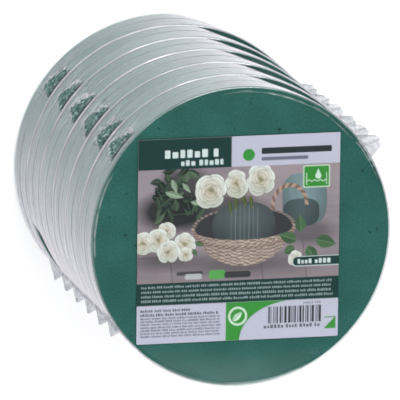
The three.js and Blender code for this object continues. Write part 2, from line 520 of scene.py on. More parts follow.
def buildFilm(number, material, half, fine):
    # one half of the wrap, as a cup: rows run from the middle of the face over the rounded edge and
    # along the wall to the weld, then back along the inside; both skins carry the same relief
    look = filmLook
    top = half == "front"
    corner, wallRadius = look["corner"], look["outer"]
    flat = wallRadius - corner
    angle = filmAngles(560 if fine else 400)[None, :]
    face = [0, 20, 40, 55, 63, 67]
    if fine and top:
        face = [0, 12, 24, 36, 46, 54, 60, 63, *np.arange(65, flat, 0.22)]
    turns = np.radians(np.linspace(90, 0, 9))
    deep = (look["top"] - look["weld"] if top else look["weld"] - look["bottom"]) - look["weldHalf"]
    steps = np.linspace(corner, deep, 34 if fine else 24)[1:]
    # each row: radius, depth from the face, and the outward normal's two parts
    profile = [(r, 0, 0, 1) for r in face]
    profile += [
        (flat + corner * math.cos(a), corner - corner * math.sin(a), math.cos(a), math.sin(a))
        for a in turns
    ]
    profile += [(wallRadius, d, 1, 0) for d in steps]
    r, depth, nr, nz = np.array(profile).T[:, :, None]
    z = look["top"] - depth if top else look["bottom"] + depth
    nz = nz if top else -nz
    seed = 200 + 40 * number
    wall, wallCrease = wallRelief(angle + 0 * r, z + 0 * angle, seed)
    over, faceCrease = faceRelief(angle + 0 * r, r + 0 * angle, seed, top and number == blockCount)
    limit = 1.0 if top and number == blockCount else 0.3
    deepest = -2.0 if top and number == blockCount else -0.08
    blend = np.clip(nr, 0, 1) ** 2
    relief = np.clip(wall, -0.3, 1.0) * blend + np.clip(over, deepest, limit) * (1 - blend)
    crease = wallCrease * blend + faceCrease * (1 - blend)
    outward = roundAxis(nr, np.radians(angle), nz)
    base = roundAxis(r, np.radians(angle), z)
    outside = base + outward * relief[..., None]
    inside = base + outward * (relief - look["thickness"])[..., None]
    outside[0], inside[0] = outside[0].mean(0), inside[0].mean(0)
    grid = np.concatenate([outside, inside[::-1]]) if top else np.concatenate([inside, outside[::-1]])
    strong = look["rimMilk"][1 if number == blockCount else 0]
    rim = np.clip(nr, 0, 1) * np.clip(nz, 0, 1) * strong * (0.8 + 0.35 * latticeNoise(base, 9, seed + 30))
    crease = np.clip(crease + rim, 0, 1)
    crease = np.concatenate([crease, crease[::-1]])
    grid = squeezed(number, grid)
    grid[..., 2] += baseHeights[number]
    obj = makeTurned(f"film_{half}_half_{number}", grid, {"crease": crease})
    finishPiece(obj, material, f"block_{number}", f"film_{half}_{number}")


def buildWeld(number, material):
    # the melted bead: a small oval section swept round the wall, its size and height wandering a little
    look = filmLook
    turn = np.radians(np.linspace(0, 360, 480, endpoint=False))[None, :]
    section = np.radians(np.linspace(0, -360, 10, endpoint=False))[:, None]
    wander = roundAxis(70, turn, 0)
    thick = 1 + 0.35 * latticeNoise(wander, 2.2, 400 + number)
    lift = latticeNoise(wander, 14, 410 + number) * 0.12
    r = look["seamRadius"] + look["seamHalf"][0] * thick * np.cos(section)
    z = look["weld"] + lift + look["seamHalf"][1] * np.sin(section)
    grid = squeezed(number, roundAxis(r, turn, z))
    grid[..., 2] += baseHeights[number]
    obj = makeRing(f"film_seam_{number}", grid, {"crease": np.full(grid.shape[:2], 0.08)})
    finishPiece(obj, material, f"block_{number}", f"film_weld_{number}")


tailLook = dict(
    root=70.5,
    sunk=0.25,              # how far its root sits in the weld
    pleats=2.2,
    thickness=0.12,
    milk="#ece7ee",
    shade="#b7b9bd",
    # each standing tail: its angle, in degrees, and how much that grows with each block, how far it
    # stands out, half its width at root and tip, how far its tip leans round the block, and how
    # strongly it is pleated
    flap=dict(angle=25.0, step=1.1, length=9.0, rootHalf=7.4, tipHalf=3.0, lean=-1.6, fold=0.55),
    fin=dict(angle=222.6, step=-1.1, length=4.5, rootHalf=5.6, tipHalf=0.8, lean=4.2, fold=0.3),
)


def crinkledMaterial():
    # crumpled film: milky where it is doubled and creased, with a grey painted shade where it is not, still
    # half clear between, and glossy
    look = tailLook
    material, tree, out = newMaterial("film_crinkled")
    place = addNode(tree, "TexCoord").outputs["Object"]
    crumple = addNode(tree, "TexNoise", {
        "Vector": place, "Scale": 1 / (1.5 * mm), "Detail": 2.0, "Distortion": 1.2,
    })
    bump = addNode(tree, "Bump", {"Strength": 0.25, "Distance": 0.2 * mm, "Height": crumple.outputs["Fac"]})
    crease = addNode(tree, "Attribute", attribute_name="crease").outputs["Fac"]
    # the colour runs from a grey painted shade to the milky white of the creases
    tint = addNode(tree, "MixRGB", {
        "Fac": crease, "Color1": shaderColour(look["shade"]), "Color2": shaderColour(look["milk"]),
    })
    body = addNode(tree, "BsdfPrincipled", {
        "Base Color": tint.outputs[0], "Roughness": 0.22, "Specular IOR Level": 0.6,
        "Normal": bump.outputs[0],
    })
    clear = addNode(tree, "BsdfTransparent", {"Color": shaderColour("#f2f4f5")})
    facing = addNode(tree, "LayerWeight", {"Blend": 0.35}).outputs["Facing"]
    share = addNode(tree, "Math", {0: facing, 1: 0.45}, operation="MULTIPLY")
    share = addNode(tree, "Math", {0: share.outputs[0], 1: crease}, operation="ADD", use_clamp=True)
    share = addNode(tree, "MapRange", {"Value": share.outputs[0], "To Min": 0.18, "To Max": 0.8})
    mix = addNode(tree, "MixShader", {0: share.outputs[0], 1: clear.outputs[0], 2: body.outputs[0]})
    tree.links.new(mix.outputs[0], out.inputs[0])
    return material


def buildTail(number, corner, shape, material):
    # a gathered flap: it narrows towards a ragged tip, its pleats are a wave across it that grows
    # with the distance from the weld, and crumples are added by noise
    look, form = tailLook, tailLook[shape]
    seed = 500 + 20 * number + len(corner)
    rng = np.random.default_rng(seed)
    u = np.linspace(0, 1, 26)[:, None]
    v = np.linspace(-1, 1, 40)[None, :]
    ragged = 1 + 0.07 * latticeNoise(pointGrid(v * 2.2, 0, 0), 1, seed) - 0.10 * v ** 2
    out = u * form["length"] * ragged
    half = form["rootHalf"] + (form["tipHalf"] - form["rootHalf"]) * u
    across = v * half + form["lean"] * u
    pleat = np.sin(v * math.pi * look["pleats"] + rng.uniform(0, 6) + u * 0.8)
    flat = pointGrid(out, across, 0)
    crumple = latticeNoise(flat, 3.0, seed + 1) * 0.7 + latticeNoise(flat, 1.3, seed + 2) * 0.2
    lift = (0.2 + 1.3 * u) * pleat * form["fold"] + crumple * np.clip(u * 3, 0.1, 1)
    angle = form["angle"] + form["step"] * number
    inset = rimSqueeze(number, np.array(angle), np.array(filmLook["weld"]))
    r = look["root"] - look["sunk"] - inset + out
    z = filmLook["weld"] + lift + baseHeights[number]
    middle = roundAxis(r, math.radians(angle) + across / r, z)
    # the crease value sets the colour: milky on the crease lines, and paler on the pleats' raised side and
    # greyer on their sunken side, a painted shade
    crease = np.clip(0.35 + 0.45 * ridges(latticeNoise(flat, 2.2, seed + 3), 2) + 0.15 * pleat, 0, 1)
    obj = makeSheet(f"film_ear_{corner}_{number}", middle, look["thickness"], {"crease": crease})
    finishPiece(obj, material, f"block_{number}", f"film_tail_{corner}_{number}")


foldLook = dict(
    radius=70.66,
    bend=71,                # radius at which its length is measured
    halfLength=9.2,
    front=24.6,             # height of its front edge above the underside of the wrapped block
    depth=19,
    frontShift=3.2,         # the top block's is this much further back
    swell=0.30,
    crumple=0.28,
    thickness=0.06,
)


def foldedMaterial():
    # the tail pressed against the wall: where the film clings the colour is dark, mottled foam deepened by a
    # painted shade under the fold, with pale specks of painted glare, and the crumples behind are milky film
    # with a painted highlight on their crests
    material, tree, out = newMaterial("film_folded_foam_with_painted_shade_and_glare")
    place = addNode(tree, "TexCoord").outputs["Object"]
    speck = addNode(tree, "TexNoise", {
        "Vector": place, "Scale": 1 / (1.3 * mm), "Detail": 3.0, "Roughness": 0.8, "Distortion": 0.8,
    })
    mottle = addNode(tree, "MapRange", {"Value": speck.outputs["Fac"], "From Min": 0.515, "From Max": 0.64})
    crease = addNode(tree, "Attribute", attribute_name="crease").outputs["Fac"]
    # the mottle mixes a dark foam colour, deepened as painted shade, with pale specks of painted glare
    dark = addNode(tree, "MixRGB", {
        "Fac": mottle.outputs["Result"], "Color1": shaderColour("#1b4744"), "Color2": shaderColour("#abc4c2"),
    })
    tint = addNode(tree, "MixRGB", {
        "Fac": crease, "Color1": dark.outputs[0], "Color2": shaderColour("#dcd8e0"),
    })
    bump = addNode(tree, "Bump", {"Strength": 0.3, "Distance": 0.15 * mm, "Height": speck.outputs["Fac"]})
    body = addNode(tree, "BsdfPrincipled", {
        "Base Color": tint.outputs[0], "Roughness": 0.55, "Specular IOR Level": 0.1,
        "Normal": bump.outputs[0],
    })
    clear = addNode(tree, "BsdfTransparent", {"Color": (1, 1, 1, 1)})
    cling = addNode(tree, "Attribute", attribute_name="cling").outputs["Fac"]
    mix = addNode(tree, "MixShader", {0: cling, 1: clear.outputs[0], 2: body.outputs[0]})
    tree.links.new(mix.outputs[0], out.inputs[0])
    return material


def buildFoldedTail(number, corner, centre, material):
    # a strip of the wall's curve. u runs round the block to the tail's low point, and q from its
    # front edge to its back one. The part that clings is a ragged wedge: one straight side along
    # the front edge, its low end cut off slanting to a point in front, and its other end thin and
    # broken into specks. Milky crumples lie behind it
    look = foldLook
    seed = 700 + 20 * number + (0 if corner == "upper_left" else 9)
    u = np.linspace(-1, 1, 92)[:, None]
    q = np.linspace(0, 1, 66)[None, :]
    place = pointGrid(u * 9, q * 17, 0)
    shift = look["frontShift"] if number == blockCount else 0
    rise = look["front"] - q * look["depth"] - shift
    crumple = ridges(latticeNoise(place, 2.6, seed + 1), 1.4) * 0.6
    crumple = crumple + ridges(latticeNoise(place, 1.2, seed + 2), 1.4) * 0.4
    border = np.clip((1 - np.abs(u)) / 0.1, 0, 1) * np.clip((1 - np.abs(2 * q - 1)) / 0.08, 0, 1)
    r = look["radius"] + (np.sin(q * math.pi) * look["swell"] + crumple * look["crumple"]) * border
    turn = math.radians(centre) + u * look["halfLength"] / look["bend"]
    middle = squeezed(number, roundAxis(r, turn, rise))
    middle[..., 2] += baseHeights[number]
    ragged = latticeNoise(place, 3.0, seed + 3) * 0.11 + latticeNoise(place, 1.2, seed + 4) * 0.10
    lowEnd = (0.96 - 0.62 * q - u) / 0.5
    wide = 0.10 + 0.62 * np.clip((u + 1) / 1.2, 0, 1)
    inside = np.minimum(np.minimum(wide - q, lowEnd * 0.6), (q - 0.02) * 6) + ragged
    # the ragged wedge where the dark foam colour and its painted shade are laid
    dark = np.clip(inside / 0.16 + 0.3, 0, 1) * np.clip((u + 0.98) / 0.3, 0, 1)
    behind = np.minimum(wide + 0.30 - q, (1.02 - 0.40 * q - u) * 1.2) + ragged * 1.3
    # the milky crumples, laid on the crumples' crests: milky film and partly a painted highlight
    pale = np.clip(behind / 0.25, 0, 1) * np.clip(crumple * 1.6 - 0.3, 0, 1) * 0.6
    cling = np.clip(np.maximum(dark * 0.94, pale), 0, 1) * border
    crease = np.clip(1 - dark * 1.15 + (crumple - 0.7) * 0.5, 0, 1)
    values = {"crease": crease[:, ::-1], "cling": cling[:, ::-1]}
    obj = makeSheet(f"film_fold_{corner}_{number}", middle[:, ::-1], look["thickness"], values)
    finishPiece(obj, material, f"block_{number}", f"film_tail_{corner}_{number}")


labelLook = dict(
    width=95.0,
    height=96.0,
    thickness=0.2,
    corner=0.6,
    under=25.92,            # height of its underside above the underside of the wrapped block
    shiftX=-1.2,
    shiftY=-0.8,
    headerDepth=14.3,       # from here down, millimetres from the label's upper left corner
    headerSplit=43.9,
    pictureDepth=67.6,
    bandDepth=78.0,
    stripSplit=42.0,
    deepGreen="#153b3c",
    paperWhite="#d3cce1",
    leafGreen="#3f9a3e",
    inkDark="#2b3338",
    board="#a2909a",
    wicker="#cdb3a9",
    wickerShade="#5e4b49",
    edge=0.22,              # softness of a printed edge
)


class Print:
    # the ink on the label: a grid of colours, with across and down in millimetres from its upper left corner

    def __init__(self, across, down):
        self.across = across
        self.down = down
        self.colour = np.zeros(across.shape + (3,))
        self.flat = np.stack([across.ravel(), down.ravel(), np.zeros(across.size)], 1)

    def noise(self, size, seed, stretch=(1, 1)):
        scaled = self.flat * np.array([1 / stretch[0], 1 / stretch[1], 1])
        return latticeNoise(scaled, size, seed).reshape(self.across.shape)

    def lay(self, mask, colour):
        tint = hexLinear(colour) if isinstance(colour, str) else colour
        self.colour += (tint - self.colour) * np.clip(mask, 0, 1)[..., None]

    def soft(self, distance, edge=None):
        # 1 inside, where distance is negative, 0 outside, and a straight ramp one edge wide between.
        return np.clip(0.5 - distance / (edge or labelLook["edge"]), 0, 1)

    def box(self, left, top, right, bottom, corner=0.0):
        # distance to a rounded box: how far outside its inner box, less the corner's radius.
        outX = np.abs(self.across - (left + right) / 2) - (right - left) / 2 + corner
        outY = np.abs(self.down - (top + bottom) / 2) - (bottom - top) / 2 + corner
        far = np.hypot(np.maximum(outX, 0), np.maximum(outY, 0))
        return self.soft(far + np.minimum(np.maximum(outX, outY), 0) - corner)

    def turned(self, x, y, angle):
        # places measured from x, y along and across a line at the given angle, in degrees.
        c, s = np.cos(np.radians(angle)), np.sin(np.radians(angle))
        dx, dy = self.across - x, self.down - y
        return dx * c + dy * s, -dx * s + dy * c

    def oval(self, x, y, longHalf, shortHalf, angle=0, edge=None):
        # the inside of an oval, and how far out each place lies as a share of the way to its border.
        along, off = self.turned(x, y, angle)
        ring = np.hypot(along / longHalf, off / shortHalf)
        return self.soft((ring - 1) * min(longHalf, shortHalf), edge), ring


def greekedLine(sheet, left, right, top, bottom, colour, seed, letter=0.62, gap=0.28, strength=1.0):
    # a line of print without letters: short blocks of uneven width, with a wider gap between words.
    rng = np.random.default_rng(seed)
    tall = bottom - top
    at = left
    mask = np.zeros_like(sheet.across)
    while at < right - letter * tall:
        for _ in range(rng.integers(3, 8)):
            wide = tall * letter * rng.uniform(0.75, 1.2)
            if at + wide > right:
                break
            rise = 0.0 if rng.random() < 0.6 else tall * 0.22
            mask = np.maximum(mask, sheet.box(at, top + rise, at + wide, bottom, tall * 0.12))
            at += wide + tall * gap
        at += tall * 0.45
    sheet.lay(mask * strength, colour)


def leaf(sheet, x, y, length, width, angle, colour, light="#6d8064"):
    # a pointed leaf: its half width is a sine along its length, with a pale midrib and slanting side veins.
    along, off = sheet.turned(x, y, angle)
    part = np.clip(along / length, 0, 1)
    half = width / 2 * np.sin(np.pi * part ** 0.8)
    inside = sheet.soft(np.maximum(np.abs(off) - half, np.maximum(-along, along - length)))
    veins = 0.5 + 0.5 * np.cos((along - np.abs(off) * 1.2) * 2 * np.pi / (length * 0.16))
    tint = hexLinear(colour)
    shade = 0.75 + 0.5 * (off > 0) * 0.6 + 0.2 * veins
    sheet.lay(inside, tint * shade[..., None])
    sheet.lay(inside * np.exp(-(off / 0.18) ** 2) * 0.55, light)


def rose(sheet, x, y, radius, seed, tall=1.0, heart="#dcbfa6", petal="#f6f1f0", shadow="#85805f"):
    # an open rose: rings of petals from the outside in, each with a soft dark line where it lies over
    # its neighbour, a pale lip and a fold of shade below the lip, and greener at the flower's foot
    rng = np.random.default_rng(seed)
    for ring, (share, count) in enumerate(((0.58, 6), (0.42, 5), (0.26, 4), (0.12, 3))):
        turn = rng.uniform(0, 360)
        for k in range(count):
            a = np.radians(turn + 360 * k / count + rng.uniform(-16, 16))
            px, py = x + radius * share * np.cos(a), y + radius * share * np.sin(a) * tall
            size = radius * (0.54 - 0.08 * ring) * rng.uniform(0.85, 1.12)
            wide = size * rng.uniform(0.70, 0.9)
            lean = np.degrees(a) + 90 + rng.uniform(-14, 14)
            sheet.lay(sheet.oval(px, py, size * 1.1, wide * 1.12, lean)[0] * (0.25 + 0.10 * ring), shadow)
            mask, ringAt = sheet.oval(px, py, size, wide, lean)
            outward = ((sheet.across - px) * np.cos(a) + (sheet.down - py) * np.sin(a) / tall) / wide
            lit = np.clip(0.62 + 0.55 * outward, 0, 1)
            low = np.clip((sheet.down - y) / radius, 0, 1) * 0.4
            warm = hexLinear(petal) * (1 - 0.22 * ring) + hexLinear(heart) * 0.22 * ring
            lit = (0.12 + 0.88 * lit) * (1 - low)
            tint = hexLinear(shadow) + (warm - hexLinear(shadow)) * lit[..., None]
            sheet.lay(mask, tint)
            lip = np.exp(-((ringAt - 0.92) / 0.09) ** 2) * mask * (outward > 0.1)
            sheet.lay(lip * 0.45, "#fbf8f2")
    sheet.lay(sheet.oval(x, y, radius * 0.16, radius * 0.10, 30)[0] * 0.6, shadow)


def between(dark, light, share):
    # a colour at each place, part of the way from one to the other
    return hexLinear(dark) + (hexLinear(light) - hexLinear(dark)) * share[..., None]


def twistedRing(sheet, x, y, outer, squash, wide, colour="#c9a596", part=(0, 360), deep="#6f5650"):
    # a ring of twisted cane: a band about an oval, with slanting light and dark turns along it
    dx, dy = sheet.across - x, (sheet.down - y) / squash
    radius = np.hypot(dx, dy)
    angle = np.degrees(np.arctan2(-dy, dx)) % 360
    within = (angle >= part[0]) & (angle <= part[1])
    # the same width across the band wherever the oval is squashed
    stretch = np.hypot(dx / outer, dy / outer / squash) * squash if squash < 1 else 1.0
    band = sheet.soft((np.abs(radius - outer) - wide / 2) * np.clip(stretch, 0.3, 1)) * within
    turns = np.sin(np.radians(angle) * outer * 1.9 + (radius - outer) / wide * 2.6)
    sheet.lay(band, between(deep, colour, 0.55 + 0.45 * turns))


def wickerBowl(sheet, x, y, halfWidth, rimHalf, depth):
    # the front of a woven bowl: strands follow its sag, over and under upright stakes
    look = labelLook
    side = (sheet.across - x) / halfWidth
    rim = y + rimHalf * np.sqrt(np.clip(1 - side ** 2, 0, 1)) * 0.7
    foot = y + depth * np.sqrt(np.clip(1 - (side / 0.93) ** 2, 0, 1))
    body = sheet.soft(np.maximum(rim - sheet.down, sheet.down - foot)) * (np.abs(side) < 0.95)
    sagged = sheet.down - rimHalf * np.sqrt(np.clip(1 - side ** 2, 0, 1))
    wobble = sheet.noise(2.2, 23) * 0.5
    strand = np.sin((sagged + wobble) * 2 * np.pi / 1.55 + np.pi * np.floor(side * 8 + 40))
    shade = (0.62 + 0.38 * strand) * (1.1 - 0.5 * np.abs(side) ** 2) * (1 + 0.25 * sheet.noise(1.1, 24))
    sheet.lay(body, between(look["wickerShade"], look["wicker"], shade))


def foamDome(sheet, x, halfWidth, top, bottom, colour, power=2.6, light=0.0):
    # a rounded block of foam from the front: |across|^p + |down|^p < 1, shaded round its sides
    middle, half = (top + bottom) / 2, (bottom - top) / 2
    side, height = (sheet.across - x) / halfWidth, (sheet.down - middle) / half
    reach = (np.abs(side) ** power + np.abs(height) ** power) ** (1 / power)
    inside = sheet.soft((reach - 1) * half)
    rub = 1 + 0.10 * sheet.noise(0.7, 31, (1, 9)) + light * np.exp(-((height + 0.35) / 0.5) ** 2)
    lit = (1.15 - 0.45 * side ** 2 - 0.25 * np.clip(height, 0, 1)) * rub
    sheet.lay(inside, hexLinear(colour) * lit[..., None])


def paintBoards(sheet):
    # weathered boards: long grain, joints, a lilac light at the upper left and warmer ones below
    look = labelLook
    grain = sheet.noise(0.9, 11, (14, 1)) * 0.07 + sheet.noise(7, 12) * 0.10
    sheet.colour = hexLinear(look["board"]) * (1 + grain)[..., None]
    sheet.lay(sheet.soft(sheet.across - 14, 16) * sheet.soft(sheet.down - 36, 10) * 0.5, "#ad9cab")
    sheet.lay(sheet.soft(54 - sheet.across, 26) * sheet.soft(sheet.down - 30, 16) * 0.5, "#b7a3a8")
    sheet.lay(sheet.soft(56 - sheet.down, 10) * 0.35, "#8f7c80")
    for joint, low in ((13.5, 54), (56.0, 58), (76.5, 50)):
        lean = joint + (sheet.down - 40) * 0.12
        line = np.exp(-((sheet.across - lean) / 0.24) ** 2)
        sheet.lay(line * sheet.soft(low - sheet.down) * 0.6, "#54474b")
    sheet.lay(np.exp(-((sheet.down - 55.6) / 0.3) ** 2) * sheet.soft(sheet.across - 24) * 0.5, "#54474b")


def paintPicture(sheet):
    # the picture panel: pale roses, dark leaves and a woven bowl on weathered boards
    rng = np.random.default_rng(5)
    paintBoards(sheet)
    for x, y, a, b, t in (
        (17, 34, 16, 9, 0.95), (22, 24, 12, 10, 0.8), (40, 36, 20, 9, 0.7),
        (12, 57, 14, 4, 0.55), (50, 60, 26, 5, 0.5), (80, 46, 12, 6, 0.55),
    ):
        sheet.lay(sheet.oval(x, y, a, b, 0, 5)[0] * t, "#232729")
    foamDome(sheet, 78.5, 10.5, 18.5, 43, "#7d8f96", 3.2)
    foamDome(sheet, 77.0, 8.5, 30.5, 43.5, "#4e5a60", 3.0)
    # foliage: a fan of dark leaves, some catching light
    for k in range(46):
        x, y = 17 + rng.normal(0, 6.0), 27 + rng.normal(0, 6.5)
        tint = ("#26332a", "#33433a", "#455547", "#20292a", "#5b6c58")[k % 5]
        leaf(sheet, x, y, rng.uniform(4.5, 7.5), rng.uniform(2.4, 4.0), rng.uniform(0, 360), tint)
    for x, y, long, wide, a in (
        (13, 25, 9, 3.2, 18), (16, 19, 7, 2.6, 70), (21, 21, 6, 2.2, 50), (25, 30, 6, 2.4, 10),
    ):
        leaf(sheet, x, y, long, wide, a, "#93a38d", "#cdd6c4")
    # the bowl: back rim, dark inside, its block of foam, front, then the front rim
    x, y, half, rim = 50.0, 42.5, 24.0, 9.0
    twistedRing(sheet, 71.5, 33.5, 8.0, 1.2, 1.7, part=(0, 215))
    sheet.lay(sheet.oval(x, y, half, rim)[0], "#3d3a41")
    twistedRing(sheet, x, y, half - 0.6, rim / half, 1.8, colour="#a8938f", part=(0, 180), deep="#4d4143")
    foamDome(sheet, 50.0, 14.8, 31.0, 52.5, "#4e5459", 2.4, 0.3)
    for k in range(7):
        line = np.exp(-((sheet.across - 44 - 2.1 * k) / 0.16) ** 2)
        sheet.lay(line * sheet.oval(50, 42, 13.5, 9.5)[0] * 0.3, "#b9c7cb")
    wickerBowl(sheet, x, y, half, rim, 18.5)
    for step in range(3):
        cane = ("#d9bfb4", "#c4a89d", "#b1958c")[step]
        wide, squash = half - 0.4 * step, rim / half
        twistedRing(sheet, x, y + 0.9 * step, wide, squash, 1.5, colour=cane, part=(180, 360))
    # roses over the rim and at the lower left
    for gx, gy in ((46, 31), (49, 30), (53, 31), (43, 33)):
        leaf(sheet, gx, gy - 3, 7, 1.8, rng.uniform(70, 115), "#4e5b2c", "#8a9350")
    for gx, gy, r, s, tall in (
        (57.8, 20.6, 6.9, 7, 1.2), (46.2, 22.4, 5.6, 6, 1.35), (34.4, 25.0, 7.6, 5, 1.15),
    ):
        rose(sheet, gx, gy, r, s, tall)
    for gx, gy, r, s in (
        (13.6, 43.2, 4.4, 4), (2.6, 48.6, 5.4, 3), (9.8, 47.4, 5.4, 1),
        (22.2, 49.4, 5.2, 2), (14.6, 53.0, 5.4, 8), (22.8, 54.6, 3.2, 9),
    ):
        rose(sheet, gx, gy, r, s)
    for gx, gy, long, wide, a in (
        (27, 49, 5, 2.4, 20), (26, 52, 4, 2, 60), (75, 50, 9, 5.5, 200), (77, 46, 8, 5.2, 265),
        (84, 50, 10, 6.2, 15), (80, 53, 9, 5.4, 60), (74, 53, 6, 4.2, 150),
    ):
        leaf(sheet, gx, gy, long, wide, a, "#4c6a4a", "#86a07f")
    rose(sheet, 74.5, 58.6, 3.4, 9)
    # a pruner along the foot of the picture, as three bars
    sheet.lay(sheet.box(18.5, 62.6, 31, 64.4, 0.9) * 0.85, "#3a3f43")
    sheet.lay(sheet.box(22.5, 63.8, 30.5, 66.4, 1.0) * 0.85, "#cfcdd3")
    sheet.lay(sheet.box(33.8, 62.4, 41.5, 66.6, 1.6) * 0.95, "#5fb05a")
    sheet.lay(sheet.box(41.0, 63.4, 53.5, 66.4, 1.3) * 0.9, "#2c3335")


def paintHeader(sheet):
    # the strip over the picture: a deep green block of print, and a pale one with a plain dot and two bars.
    look = labelLook
    sheet.lay(sheet.box(0, 0, look["headerSplit"], look["headerDepth"]), look["deepGreen"])
    sheet.lay(sheet.box(look["headerSplit"], 0, 100, look["headerDepth"]), look["paperWhite"])
    greekedLine(sheet, 12.5, 40.2, 5.4, 9.2, "#e8eef0", 41)
    greekedLine(sheet, 20.2, 40.2, 10.3, 12.9, "#dfe7e9", 42)
    sheet.lay(sheet.oval(52.0, 9.0, 2.8, 2.8)[0], look["leafGreen"])
    sheet.lay(sheet.box(58.0, 6.0, 91.0, 8.8, 0.5), look["inkDark"])
    sheet.lay(sheet.box(58.0, 10.3, 80.0, 11.9, 0.5), "#77748a")


def paintMarks(sheet):
    # the soak pictogram and the small size tab, both over the picture.
    look = labelLook
    sheet.lay(sheet.box(77.6, 15.0, 90.4, 25.6, 1.0), "#cfe0c8")
    sheet.lay(sheet.box(78.2, 15.6, 89.8, 25.0, 0.6), "#3c9439")
    drop = sheet.oval(84.8, 20.1, 1.4, 1.4)[0]
    sides = np.abs(sheet.across - 84.8) - (sheet.down - 16.6) * 0.42
    tip = np.maximum(sides, np.maximum(16.6 - sheet.down, sheet.down - 20.1))
    sheet.lay(np.maximum(drop, sheet.soft(tip)), "#dcefe0")
    water = 22.3 + 0.35 * np.sin(sheet.across * 2.4)
    sheet.lay(sheet.soft(np.abs(sheet.down - water) - 0.22) * sheet.box(79.2, 19, 88.9, 24.2), "#dcefe0")
    walls = sheet.soft(np.abs(np.abs(sheet.across - 84.0) - 4.7) - 0.2)
    sheet.lay(walls * sheet.box(78.6, 18.6, 89.5, 24.2), "#cfe5cf")
    sheet.lay(sheet.box(73.0, 57.6, 97, 62.4, 1.9), "#d5dde0")
    sheet.lay(sheet.box(73.4, 58.0, 97, 62.0, 1.7), look["deepGreen"])
    greekedLine(sheet, 75.6, 92.0, 59.0, 61.1, "#e4eaec", 51)


def paintFoot(sheet):
    # the band of small print and the strip under it: address block, ring mark and bar pattern.
    look = labelLook
    sheet.lay(sheet.box(-1, look["pictureDepth"], 100, look["bandDepth"]), look["deepGreen"])
    for row in range(4):
        top = look["pictureDepth"] + 1.3 + 2.15 * row
        greekedLine(sheet, 2.0, 92.5, top, top + 1.05, "#b7c4c6", 60 + row, strength=0.75)
    sheet.lay(sheet.box(-1, look["bandDepth"], 100, 100), look["paperWhite"])
    for row in range(2):
        top = look["bandDepth"] + 1.9 + 1.9 * row
        greekedLine(sheet, 1.8, 26 + 13 * row, top, top + 1.15, look["inkDark"], 70 + row, strength=0.85)
    for row in range(7):
        top = look["bandDepth"] + 5.6 + 1.4 * row
        greekedLine(sheet, 1.8, 39.5, top, top + 0.85, "#55535f", 80 + row, strength=0.85)
    # a green sweep, whose lower edge is a quarter of an oval from the foot of the label up to the band
    reach = np.clip((75 - sheet.across) / 26.5, 0, 1)
    sweep = look["height"] - (look["height"] - look["bandDepth"]) * np.sqrt(1 - reach ** 2)
    green = sheet.soft(sheet.down - sweep) * sheet.soft(look["stripSplit"] - sheet.across)
    sheet.lay(green * sheet.soft(look["bandDepth"] - sheet.down), look["leafGreen"])
    ring = sheet.oval(47.6, 84.6, 4.4, 4.4)[1]
    sheet.lay(sheet.soft((np.abs(ring - 0.9) - 0.12) * 4.1), "#dfeedd")
    leaf(sheet, 45.4, 86.8, 6.0, 2.8, -45, "#dfeedd", look["leafGreen"])
    rng = np.random.default_rng(90)
    at = 62.0
    while at < 87.0:
        wide = rng.choice([0.35, 0.35, 0.7, 1.05])
        sheet.lay(sheet.box(at, 80.9, at + wide, 88.7), "#33333b")
        at += wide + rng.choice([0.35, 0.45, 0.8])
    greekedLine(sheet, 60.0, 86.5, 89.3, 91.0, look["inkDark"], 91, strength=0.8)
    greekedLine(sheet, 78.5, 87.0, 79.0, 80.2, "#77748a", 92, strength=0.7)
    corner = sheet.box(88.6, 86.6, 93.8, 92.2) * sheet.soft(93.6 + 86.8 - sheet.across - sheet.down)
    sheet.lay(corner, look["leafGreen"])
    sheet.lay(sheet.box(88.6, 86.6, 93.8, 87.2) * 0.8, look["leafGreen"])


def labelPrint(columns, rows):
    # the whole sheet's ink at a grid of points
    look = labelLook
    across, down = np.meshgrid(np.linspace(0, look["width"], columns), np.linspace(0, look["height"], rows))
    ink = Print(across, down)
    paintPicture(ink)
    paintHeader(ink)
    paintMarks(ink)
    paintFoot(ink)
    return np.clip(ink.colour, 0, 1)


def paperMaterial():
    # coated paper: the ink is the sheet's own colours, a little uneven, with a satin finish
    material, tree, out = newMaterial("paper_coated")
    ink = addNode(tree, "Attribute", attribute_name="ink").outputs["Color"]
    place = addNode(tree, "TexCoord").outputs["Object"]
    fibre = addNode(tree, "TexNoise", {"Vector": place, "Scale": 1 / (0.5 * mm), "Detail": 2.0})
    shift = addNode(tree, "MapRange", {"Value": fibre.outputs["Fac"], "To Min": 0.94, "To Max": 1.04})
    tint = addNode(tree, "VectorMath", {0: ink, "Scale": shift.outputs["Result"]}, operation="SCALE")
    bump = addNode(tree, "Bump", {"Strength": 0.15, "Distance": 0.03 * mm, "Height": fibre.outputs["Fac"]})
    body = addNode(tree, "BsdfPrincipled", {
        "Base Color": tint.outputs[0], "Roughness": 0.45, "Specular IOR Level": 0.3,
        "Normal": bump.outputs[0],
    })
    tree.links.new(body.outputs[0], out.inputs[0])
    return material


